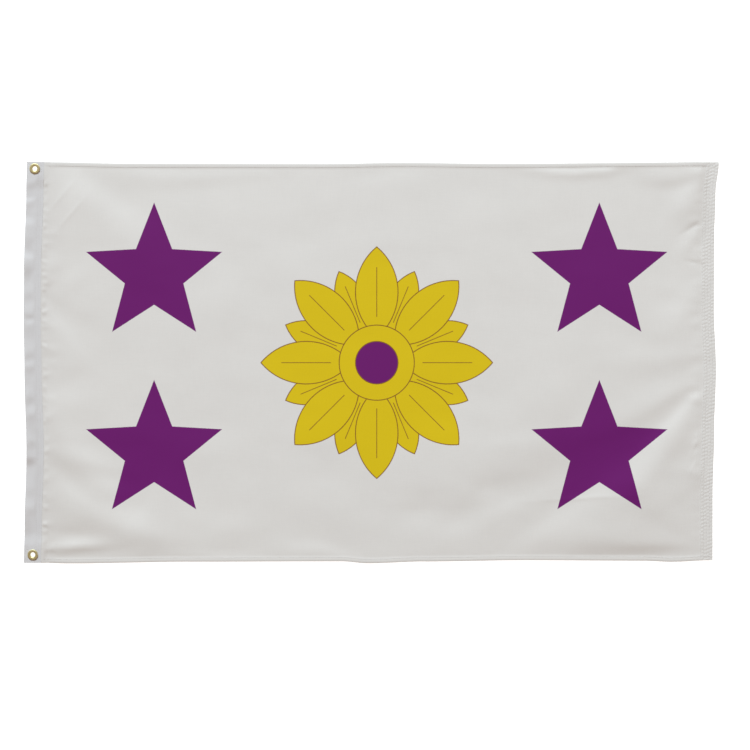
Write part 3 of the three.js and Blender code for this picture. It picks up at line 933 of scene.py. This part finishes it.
@dataclass
class Field:
    """The printed field: one cut of cloth, turned under and sewn along three edges."""

    plan: FlagPlan
    lift: HeadingLift
    cloth: float = 0.5
    hem: float = 1.0
    side_hem: float = 11.0
    fly_hem: float = 29.0
    hem_step: float = 3.0
    cell: float = 7.4
    fly_rows: tuple[float, ...] = (7.6, 13.9, 20.2, 26.5)
    side_row: float = 8.5
    pucker_pitch: float = 7.9
    pucker_height: float = 0.62
    settle: Point = (1.0, 16.0)
    tongue: float = 1.55
    seam_reach: Point = (20.0, 40.0)
    edge_round: float = 0.2
    hem_start: Point = (2.0, 20.0)
    fly_held: float = 0.35
    fly_held_reach: Point = (14.0, 37.0)
    loose_past_seam: Point = (0.5, 4.0)
    loose_before_fly: Point = (26.0, 34.0)
    pucker_slant: float = 2.4
    pucker_drift: float = 1.6
    pucker_unevenness: float = 0.35
    pucker_swings: tuple[float, float, float] = (23.0, 17.0, 41.0)

    def build(self) -> bpy.types.Object:
        """Cuts, lays and thickens the cloth.

        Returns:
            The field's object.
        """
        length, width = self.plan.field_length, self.plan.hoist_width
        sheet = Bench.grid("flag_field", round(length / self.cell), round(width / self.cell))
        self._refine(sheet)
        flat = Bench.points(sheet)
        along, up = flat[:, 0] * length, flat[:, 1] * width
        Bench.move_points(sheet, self.plan.framed(self.underside(along, up)))
        Bench.thicken(sheet, self.thickness(along, up) / self.hem, self.hem, 1.0)
        rounding = {"width": self.edge_round * MM, "segments": 2, "angle_limit": math.radians(60)}
        Bench.modify(sheet, "BEVEL", limit_method="ANGLE", **rounding)
        Bench.smooth(sheet, 50)
        return sheet

    def _refine(self, sheet: bpy.types.Object) -> None:
        """Cuts the faces finer at the hems, the seam and the creases, for their steps and puckers."""
        finest_cuts, fine_cuts = 3, 1
        for cuts in (finest_cuts, fine_cuts):
            middles = np.empty(len(sheet.data.polygons) * 3)
            sheet.data.polygons.foreach_get("center", middles)
            along = middles[0::3] * self.plan.field_length
            up = middles[1::3] * self.plan.hoist_width
            at_fly = along > self.plan.field_length - self.fly_hem - self.hem_step
            finest = at_fly | (along < self.seam_reach[0])
            at_side = np.minimum(up, self.plan.hoist_width - up) < self.side_hem + self.cell
            plan = wandering(self.plan.field_xy(along, up))
            creased = np.sum([np.abs(fold.heights(plan)) for fold in FIELD_CREASES], axis=0) > 0.0
            fine = at_side | creased | (along < self.seam_reach[1])
            Bench.subdivide(sheet, finest if cuts == finest_cuts else fine & ~finest, cuts)

    def thickness(self, along: np.ndarray, up: np.ndarray) -> np.ndarray:
        """The cloth's thickness, with its turned hems."""
        from_fly = self.plan.field_length - along
        from_side = np.minimum(up, self.plan.hoist_width - up)
        past_seam = along - self.plan.seam_allowance
        at_fly = 1 - ramp(from_fly, self.fly_hem - self.hem_step, self.fly_hem)
        at_side = 1 - ramp(from_side, self.side_hem - self.hem_step, self.side_hem)
        hemmed = np.maximum(at_fly, at_side * ramp(past_seam, *self.hem_start))
        return self.cloth + (self.hem - self.cloth) * hemmed

    def underside(self, along: np.ndarray, up: np.ndarray) -> np.ndarray:
        """The cloth's lower face.

        Args:
            along: from the edge inside the heading, on the flat cloth.
            up: from the bottom edge.

        Returns:
            x, y and height of each point of the plan.
        """
        plan = self.plan.field_xy(along, up)
        level = np.clip(up, self.side_hem, self.plan.hoist_width - self.side_hem)
        placed = wandering(self.plan.field_xy(along, level))
        heights = rolling(placed)
        for fold in (*FIELD_FOLDS, *FIELD_CREASES):
            heights += fold.heights(placed)
        from_fly = self.plan.field_length - along
        heights *= self.fly_held + (1 - self.fly_held) * ramp(from_fly, *self.fly_held_reach)
        heights = np.maximum(heights, 0.0) + self._fly_puckers(from_fly, up)
        past_seam = along - self.plan.seam_allowance
        settled = ramp(past_seam, *self.settle)
        heights = (self.lift.at(up) + self.tongue) * (1 - settled) + heights * settled
        small = [fold for row in FIELD_PUCKERS for fold in row.folds()]
        loose = ramp(past_seam, *self.loose_past_seam) * ramp(from_fly, *self.loose_before_fly)
        heights += np.sum([fold.heights(placed) for fold in small], axis=0) * loose
        return np.column_stack([plan, heights])

    def _fly_puckers(self, from_fly: np.ndarray, up: np.ndarray) -> np.ndarray:
        """The small ripples between the rows of sewing in the fly hem, set in step like brickwork."""
        heights = np.zeros_like(from_fly)
        lines = (0.0, *self.fly_rows)
        drifting, swing, slow_swing = self.pucker_swings
        for number, (outer, inner) in enumerate(zip(lines, lines[1:])):
            share = (from_fly - outer) / (inner - outer)
            between = np.where((share > 0) & (share < 1), np.sin(math.pi * np.clip(share, 0, 1)), 0.0)
            slant = self.pucker_slant * (share - 0.5)
            drift = self.pucker_drift * np.sin(up / drifting + 2.0 * number)
            phase = 2 * math.pi * ((up + slant + drift) / self.pucker_pitch + number / 2)
            swung = np.sin(up / swing + number) * np.sin(up / slow_swing)
            uneven = 1 - self.pucker_unevenness + self.pucker_unevenness * swung
            heights += self.pucker_height * between * uneven * (0.5 + 0.5 * np.cos(phase))
        return heights

    def faces(self, along: np.ndarray, up: np.ndarray) -> list[FacePoints]:
        """Points of the upper face and of the lower face."""
        lower = self.underside(along, up)
        upper = lower.copy()
        upper[:, 2] += self.thickness(along, up)
        return [(upper, FACE_UP), (lower, FACE_DOWN)]


@dataclass(frozen=True)
class Crease:
    """A crease across the heading: its place on the hoist edge, its slant, and a fold's other measures."""

    up: float
    slant: float
    width: float
    height: float
    lean: float
    taper: float


@dataclass
class Heading:
    """The canvas heading: a strip folded over the hoist edge, with a hole for each eyelet."""

    plan: FlagPlan
    lift: HeadingLift
    height: float = 3.6
    leaf: float = 0.85
    hole_radius: float = 6.4
    rows: tuple[float, ...] = (26.7, 32.5)
    columns: int = 52
    lines: int = 330
    edge_leaf: float = 0.38
    pressed: float = 1.06
    press_reach: Point = (20.0, 36.0)
    thin_reach: Point = (12.0, 2.0)
    ripple: float = 0.3
    ripple_fineness: float = 2.2
    sewn_down: float = 0.15
    sewn_reach: Point = (0.5, 6.0)
    hole_sides: int = 96
    punch_length: float = 24.0
    crease_reach: Point = (-18.0, 24.0)
    creases: tuple[Crease, ...] = (
        Crease(822, 16, 12.5, 0.91, -0.14, -0.72),
        Crease(782, 16, 11.2, 1.09, -0.23, -0.54),
        Crease(734, 12, 22, 1.57, -0.25, -0.75),
        Crease(704, 16, 22, 1.2, 0.13, -0.78),
        Crease(660, 8, 22, 2.84, -0.1, -0.64),
        Crease(637, 16, 17.3, 0.96, 0, -0.8),
        Crease(600, -8, 22, 1.49, 0.02, -0.66),
        Crease(549, 2, 22, 2.18, 0.4, -0.5),
        Crease(514, 14, 22, 2.29, -0.36, -0.8),
        Crease(466, -5, 22, 2.44, 0.29, -0.49),
        Crease(425, 11, 22, 3.12, 0.16, -0.47),
        Crease(400, 1, 21.7, 1.86, -0.4, 0),
        Crease(367, -8, 22, 3.12, 0.06, -0.3),
        Crease(327, 6, 22, 3.12, 0.02, -0.48),
        Crease(293, -3, 22, 2.94, 0.4, 0.46),
        Crease(275, -16, 16.5, 2.84, -0.16, -0.14),
        Crease(227, 16, 22, 3.12, 0.36, 0.1),
        Crease(164, -4, 22, 1.38, 0.06, -0.25),
        Crease(127, -16, 22, 3.12, 0.02, -0.18),
        Crease(92, -4, 21.4, 1.78, -0.25, -0.3),
        Crease(34, -3, 9, 0.49, 0.39, -0.77),
    )

    @property
    def leaf_width(self) -> float:
        """The flat part of each leaf."""
        return self.plan.heading_width - self.height / 2

    @property
    def strip_width(self) -> float:
        """The strip's width before it is folded."""
        return 2 * self.leaf_width + math.pi * self.height / 2

    def build(self) -> bpy.types.Object:
        """Cuts, folds, thickens and punches the strip.

        Returns:
            The heading's object.
        """
        strip = Bench.grid("heading_band", self.columns, self.lines)
        flat = Bench.points(strip)
        folded = self.folded(flat[:, 0] * self.strip_width, flat[:, 1] * self.plan.hoist_width)
        Bench.move_points(strip, self.plan.framed(folded))
        start, end = (self.strip_width - reach for reach in self.thin_reach)
        inner = ramp(flat[:, 0] * self.strip_width, start, end)
        Bench.thicken(strip, 1 + (self.edge_leaf / self.leaf - 1) * inner, self.leaf, -1.0)
        for place in self.plan.eyelets:
            self._punch(strip, place)
        Bench.smooth(strip, 40)
        return strip

    def folded(self, across: np.ndarray, up: np.ndarray) -> np.ndarray:
        """Points of the strip's outer face once it is folded.

        Args:
            across: along the strip's width, from the inner edge of its lower leaf.
            up: from its bottom end.

        Returns:
            x, y and height of each point of the plan.
        """
        radius = self.height / 2
        bend = across - self.leaf_width
        turn = np.clip(bend / radius, 0.0, math.pi)
        past = np.maximum(bend - math.pi * radius, 0.0)
        from_hoist = radius - radius * np.sin(turn) + np.maximum(-bend, 0.0) + past
        height = radius - radius * np.cos(turn)
        plan = self.plan.heading_xy(from_hoist, up)
        upper = turn / math.pi
        relief = self._relief(plan, from_hoist, up) * upper
        relief -= self.pressed * ramp(from_hoist, *self.press_reach) * upper**4
        return np.column_stack([plan, height + relief + self.lift.at(up)])

    def _relief(self, plan: np.ndarray, from_hoist: np.ndarray, up: np.ndarray) -> np.ndarray:
        """Creases across the upper leaf, held down along its rows of sewing."""
        heights = self.ripple * rolling(plan * self.ripple_fineness)
        placed = wandering(plan)
        for crease in self.creases:
            ends = np.array([crease.up, crease.up + crease.slant])
            foot, tip = self.plan.heading_xy(np.array(self.crease_reach), ends)
            fold = Fold(tuple(foot), tuple(tip), crease.width, crease.height, crease.lean, crease.taper)
            heights += fold.heights(placed)
        sewn = np.min([np.abs(from_hoist - row) for row in self.rows], axis=0)
        free = self.sewn_down + (1 - self.sewn_down) * ramp(sewn, *self.sewn_reach)
        return heights * free * self.lift.clear_of_eyelets(up)

    def _punch(self, strip: bpy.types.Object, place: EyeletPlace) -> None:
        """Cuts an eyelet's hole through both leaves."""
        x, y = self.plan.spot(self.plan.eyelet_centre(place))
        Bench.clear()
        bpy.ops.mesh.primitive_cylinder_add(
            vertices=self.hole_sides,
            radius=self.hole_radius * MM,
            depth=self.punch_length * MM,
            location=(x, y, self.height * MM),
        )
        punch = bpy.context.object
        Bench.modify(strip, "BOOLEAN", object=punch, operation="DIFFERENCE", solver="EXACT")
        bpy.data.objects.remove(punch)

    def upper(self, from_hoist: float, up: np.ndarray) -> np.ndarray:
        """Points of the upper leaf's outer face along a line."""
        across = self.strip_width - (self.plan.heading_width - from_hoist)
        return self.folded(np.full(len(up), across), up)

    def lower(self, from_hoist: float, up: np.ndarray) -> np.ndarray:
        """Points of the lower leaf's outer face along a line."""
        return self.folded(np.full(len(up), self.plan.heading_width - from_hoist), up)


def arc(centre: Point, radius: Point, start: float, end: float, steps: int) -> list[Point]:
    """Points of an arc of an ellipse.

    Args:
        centre: its middle.
        radius: its two radii.
        start: the first angle, in degrees.
        end: the last angle.
        steps: how many steps lead from one to the other.

    Returns:
        The points, both ends included.
    """
    angles = [math.radians(start + (end - start) * i / steps) for i in range(steps + 1)]
    return [(centre[0] + radius[0] * math.cos(a), centre[1] + radius[1] * math.sin(a)) for a in angles]


@dataclass
class EyeletSet:
    """A brass eyelet and the washer that its barrel is rolled over."""

    plan: FlagPlan
    place: EyeletPlace
    hole: float = 5.5
    barrel: float = 6.1
    flange: float = 11.5
    seat: float = 5.7
    crown: float = 7.2
    roll: float = 0.8
    roll_middle: float = 7.55
    rim: float = 0.3
    crown_middle: float = 9.3
    shoulder: float = 0.5
    throat: float = 1.7
    washer_height: float = 1.5
    washer_play: float = 0.3
    washer_plate: float = 0.4
    washer_step: tuple[Point, Point] = ((8.1, 1.1), (8.4, 0.7))
    washer_turn: float = 8.9
    washer_crown: Point = (10.3, 1.2)
    turns: int = 96

    def eyelet_outline(self) -> list[Point]:
        """Half section of the eyelet: radius and height."""
        roll, throat, rim = self.roll, self.throat, self.rim
        rise = self.crown - self.seat - self.shoulder
        return [
            *arc((self.hole + roll, roll), (roll, roll), 180, 270, 5),
            *arc((self.roll_middle, roll / 2), (roll / 2, roll / 2), -90, 90, 7),
            (self.barrel, roll),
            (self.barrel, self.seat),
            *arc((self.flange - rim, self.seat + rim), (rim, rim), -90, 0, 4),
            *arc((self.crown_middle, self.crown - rise), (self.flange - self.crown_middle, rise), 10, 90, 9),
            *arc((self.hole + throat, self.crown - throat), (throat, throat), 90, 180, 9),
        ]

    def washer_outline(self) -> list[Point]:
        """Half section of the washer."""
        bore, high, rim = self.barrel + self.washer_play, self.washer_height, self.rim
        crown, depth = self.washer_crown
        return [
            (bore, high - self.washer_plate),
            *self.washer_step,
            *arc((self.washer_turn, rim), (rim, rim), 180, 270, 3),
            *arc((crown, depth), (self.flange - crown, depth), -90, 0, 7),
            (self.flange, high),
            (bore, high),
        ]

    def build(self, name: str, outline: list[Point]) -> bpy.types.Object:
        """Turns a half section round the eyelet's middle.

        Args:
            name: the piece's name.
            outline: its half section.

        Returns:
            The turned ring.
        """
        x, y = self.centre
        Bench.clear()
        bpy.ops.mesh.primitive_circle_add(vertices=len(outline), radius=self.flange * MM, location=(0, 0, 0))
        ring = bpy.context.object
        ring.name = name
        Bench.move_points(ring, np.array([(x + radius * MM, y, height * MM) for radius, height in outline]))
        bpy.ops.object.mode_set(mode="EDIT")
        bpy.ops.mesh.select_all(action="SELECT")
        bpy.ops.mesh.spin(steps=self.turns, angle=2 * math.pi, center=(x, y, 0), axis=(0, 0, 1))
        bpy.ops.mesh.select_all(action="SELECT")
        bpy.ops.mesh.remove_doubles(threshold=0.005 * MM)
        bpy.ops.mesh.normals_make_consistent(inside=False)
        bpy.ops.object.mode_set(mode="OBJECT")
        Bench.smooth(ring, 40)
        return ring

    @property
    def centre(self) -> Point:
        """The middle of the hole, in the frame."""
        return self.plan.spot(self.plan.eyelet_centre(self.place))


@dataclass
class Stitching:
    """Rows of lockstitch: one stitch modelled once, then laid end to end along each row."""

    plan: FlagPlan
    pitch: float = 3.2
    heading_pitch: float = 4.8
    length: float = 2.5
    thread: float = 0.55
    sunk: float = 0.1
    dip: float = 1.1
    sides: int = 6
    heading_margin: float = 4.0
    hem_margin: float = 3.0
    eyelet_room: float = 13.0

    def stitch(self) -> bpy.types.Object:
        """Models one stitch, its ends drawn down into the cloth.

        Returns:
            The stitch's object, lying along x.
        """
        Bench.clear()
        bpy.ops.mesh.primitive_uv_sphere_add(
            segments=self.sides, ring_count=self.sides, radius=0.5, rotation=(0, math.pi / 2, 0)
        )
        bpy.ops.object.transform_apply(location=True, rotation=True, scale=True)
        one = bpy.context.object
        one.name = "one_stitch"
        points = Bench.points(one)
        points *= np.array([self.length, self.thread, self.thread]) * MM
        half = self.length * MM / 2
        points[:, 2] -= self.dip * self.thread * MM * (points[:, 0] / half) ** 4
        Bench.move_points(one, points)
        return one

    def sew(self, name: str, one: bpy.types.Object, rows: list[FacePoints]) -> bpy.types.Object:
        """Lays the stitch along rows of points, one stitch between each two.

        Args:
            name: the piece's name.
            one: the modelled stitch.
            rows: the points of each row on its face, and which way that face looks.

        Returns:
            All the stitches as one piece.
        """
        shape = Bench.points(one)
        corners = [np.array(face.vertices) for face in one.data.polygons]
        points, polygons, count = [], [], 0
        for places, facing in rows:
            starts, ends = self.plan.framed(places[:-1]), self.plan.framed(places[1:])
            spans = np.linalg.norm(ends - starts, axis=1)
            ways = (ends - starts) / spans[:, None]
            across = np.cross(np.array([0.0, 0.0, facing]), ways)
            across /= np.linalg.norm(across, axis=1)[:, None]
            up = np.cross(ways, across)
            middles = (starts + ends) / 2 + up * self.sunk * MM
            longer = spans / (self.pitch * MM)
            for middle, way, side, rise, stretch in zip(middles, ways, across, up, longer):
                points.append(middle + shape @ np.stack([way * stretch, side, rise]))
                polygons.extend(corner + count for corner in corners)
                count += len(shape)
        mesh = bpy.data.meshes.new(name)
        mesh.from_pydata(np.concatenate(points).tolist(), [], [p.tolist() for p in polygons])
        mesh.validate()
        piece = bpy.data.objects.new(name, mesh)
        bpy.context.scene.collection.objects.link(piece)
        Bench.smooth(piece, 80)
        return piece

    @staticmethod
    def steps(start: float, end: float, pitch: float) -> np.ndarray:
        """Places from start to end, about that pitch apart."""
        return np.linspace(start, end, round((end - start) / pitch) + 1)

    def heading_rows(self, heading: Heading) -> list[FacePoints]:
        """The rows that close the heading, on both faces, stopped short of any eyelet in their way."""
        rows = []
        for row in heading.rows:
            low, high = self.heading_margin, self.plan.hoist_width - self.heading_margin
            for place in self.plan.eyelets:
                beside = self.eyelet_room**2 - (row - place.from_hoist) ** 2
                if beside > 0 and place.end is End.BOTTOM:
                    low = self.plan.eyelet_up(place) + math.sqrt(beside)
                elif beside > 0:
                    high = self.plan.eyelet_up(place) - math.sqrt(beside)
            up = self.steps(low, high, self.heading_pitch)
            rows += [(heading.upper(row, up), FACE_UP), (heading.lower(row, up), FACE_DOWN)]
        return rows

    def fly_rows(self, cloth: Field) -> list[FacePoints]:
        """The four rows down the fly hem, on both faces."""
        up = self.steps(self.hem_margin, self.plan.hoist_width - self.hem_margin, self.pitch)
        rows = []
        for row in cloth.fly_rows:
            rows += cloth.faces(np.full(len(up), self.plan.field_length - row), up)
        return rows

    def side_rows(self, cloth: Field) -> list[FacePoints]:
        """The row along the bottom hem and the one along the top hem, on both faces."""
        start = self.plan.seam_allowance + self.hem_margin
        along = self.steps(start, self.plan.field_length - self.hem_margin, self.pitch)
        rows = []
        for up in (cloth.side_row, self.plan.hoist_width - cloth.side_row):
            rows += cloth.faces(along, np.full(len(along), up))
        return rows


@dataclass
class Studio:
    """A white floor, soft light from above the flag's top edge, and a camera straight overhead."""

    plan: FlagPlan
    view_width: float = 1658.0
    view_offset: Point = (10.8, -28.4)
    lens: float = 100.0
    sensor: float = 36.0
    floor_size: float = 80.0
    floor_gap: float = 0.5
    floor_grey: float = 0.5
    floor_glow: float = 0.95
    key_place: tuple[float, float, float] = (-2.4, 16.8, 10.2)
    key_size: Point = (12.0, 6.0)
    key_power: float = 6570.0
    key_tint: tuple[float, float, float] = (0.861, 0.992, 1.074)
    sky_tint: tuple[float, float, float] = (1.0, 0.66, 0.46)
    sky_strength: float = 0.33

    def build(self) -> None:
        """Makes the floor, the lights and the camera."""
        self._floor()
        self._lights()
        self._camera()
        bpy.context.scene.view_settings.view_transform = "Standard"

    def _floor(self) -> None:
        """A plain white floor, just under the flag."""
        Bench.clear()
        bpy.ops.mesh.primitive_plane_add(size=self.floor_size, location=(0, 0, -self.floor_gap * MM))
        floor = bpy.context.object
        floor.name = "floor"
        graph = Graph("white_floor")
        material = graph.surface(
            Base_Color=(self.floor_grey, self.floor_grey, self.floor_grey, 1.0),
            Roughness=0.9,
            Emission_Color=(1.0, 1.0, 1.0, 1.0),
            Emission_Strength=self.floor_glow,
        )
        floor.data.materials.append(material)

    def _lights(self) -> None:
        """One large soft light past the top edge, and an even sky."""
        Bench.clear()
        bpy.ops.object.light_add(type="AREA", location=self.key_place)
        key = bpy.context.object
        key.data.shape = "RECTANGLE"
        key.data.size, key.data.size_y = self.key_size
        key.data.energy = self.key_power
        key.data.color = self.key_tint
        key.rotation_euler = (-key.location).to_track_quat("-Z", "Y").to_euler()
        world = bpy.data.worlds.new("studio")
        world.use_nodes = True
        sky = world.node_tree.nodes["Background"].inputs
        sky["Color"].default_value = (*self.sky_tint, 1.0)
        sky["Strength"].default_value = self.sky_strength
        bpy.context.scene.world = world

    def _camera(self) -> None:
        """A long lens, square to the flag."""
        x, y = self.plan.spot(self.view_offset)
        data = bpy.data.cameras.new("overhead")
        data.lens, data.sensor_width = self.lens, self.sensor
        camera = bpy.data.objects.new("overhead", data)
        camera.location = (x, y, self.view_width * MM * self.lens / self.sensor)
        bpy.context.scene.collection.objects.link(camera)
        bpy.context.scene.camera = camera


def main() -> None:
    """Builds the flag piece by piece and sets the studio round it."""
    logging.basicConfig(level=logging.INFO, format="%(name)s: %(message)s")
    noise.seed_set(NOISE_SEED)
    plan = FlagPlan()
    Studio(plan).build()
    lift = HeadingLift(plan)

    cloth = Field(plan, lift)
    sheet = cloth.build()
    Bench.finish(sheet, PrintedNylon().material(), "field_cloth", "field")

    heading = Heading(plan, lift)
    band = heading.build()
    Bench.finish(band, HeadingCanvas().material(), "heading_canvas", "heading")

    brass = EyeletBrass()
    for place in plan.eyelets:
        fitting = EyeletSet(plan, place)
        for part, outline in (("eyelet", fitting.eyelet_outline()), ("washer", fitting.washer_outline())):
            name = f"{part}_{place.end.value}"
            ring = fitting.build(f"brass_{name}", outline)
            Bench.finish(ring, brass.material(name, fitting.centre), "eyelet_brass", name)

    sewing, thread = Stitching(plan), SewingThread().material()
    one = sewing.stitch()
    heading_thread = sewing.sew("heading_stitches", one, sewing.heading_rows(heading))
    fly_thread = sewing.sew("fly_hem_stitches", one, sewing.fly_rows(cloth))
    side_thread = sewing.sew("side_hem_stitches", one, sewing.side_rows(cloth))
    bpy.data.objects.remove(one)
    Bench.finish(heading_thread, thread, "heading_canvas")
    Bench.finish(fly_thread, thread, "field_cloth")
    Bench.finish(side_thread, thread, "field_cloth")


if __name__ == "__main__":
    main()
